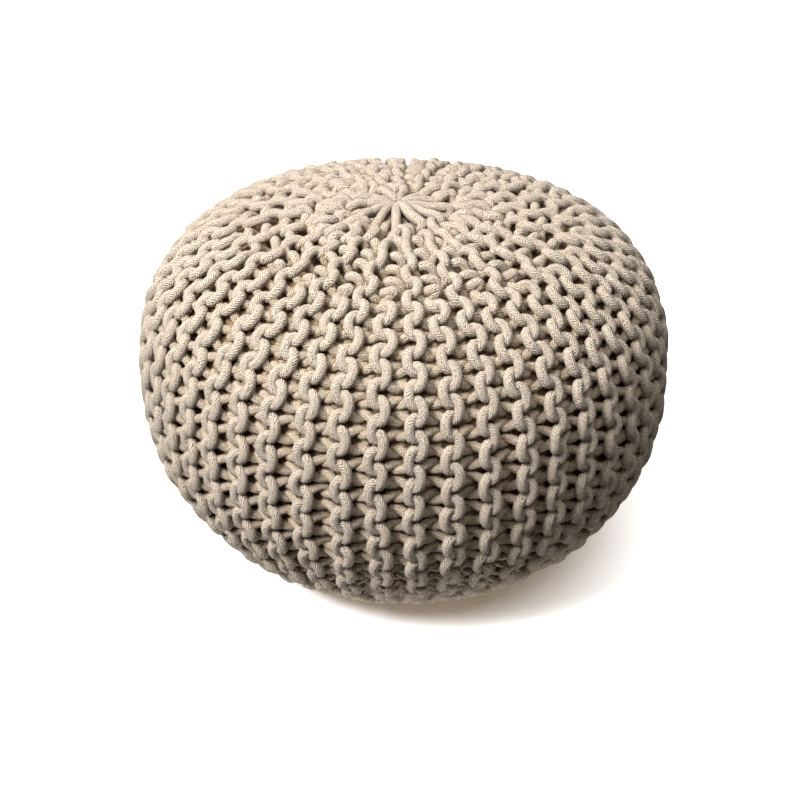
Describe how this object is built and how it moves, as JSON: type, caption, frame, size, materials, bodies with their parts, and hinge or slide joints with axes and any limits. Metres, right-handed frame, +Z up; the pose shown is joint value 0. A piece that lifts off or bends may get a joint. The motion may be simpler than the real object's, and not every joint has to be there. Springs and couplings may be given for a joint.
{
  "type": "knitted pouf",
  "caption": "Round filled pouf with a chunky knitted cover, ribbed from end to end and gathered at the crown and the foot.",
  "frame": {"origin": "middle of the flat foot, on the floor", "axes": "+Z up, from the foot to the gathered crown; -Y is the side the picture shows"},
  "size_m": [0.508, 0.508, 0.356],
  "materials": {
    "cotton_cord": "matt braided cotton cord"
  },
  "bodies": {
    "root": {"knitted_pouf": "cotton_cord"}
  },
  "joints": []
}
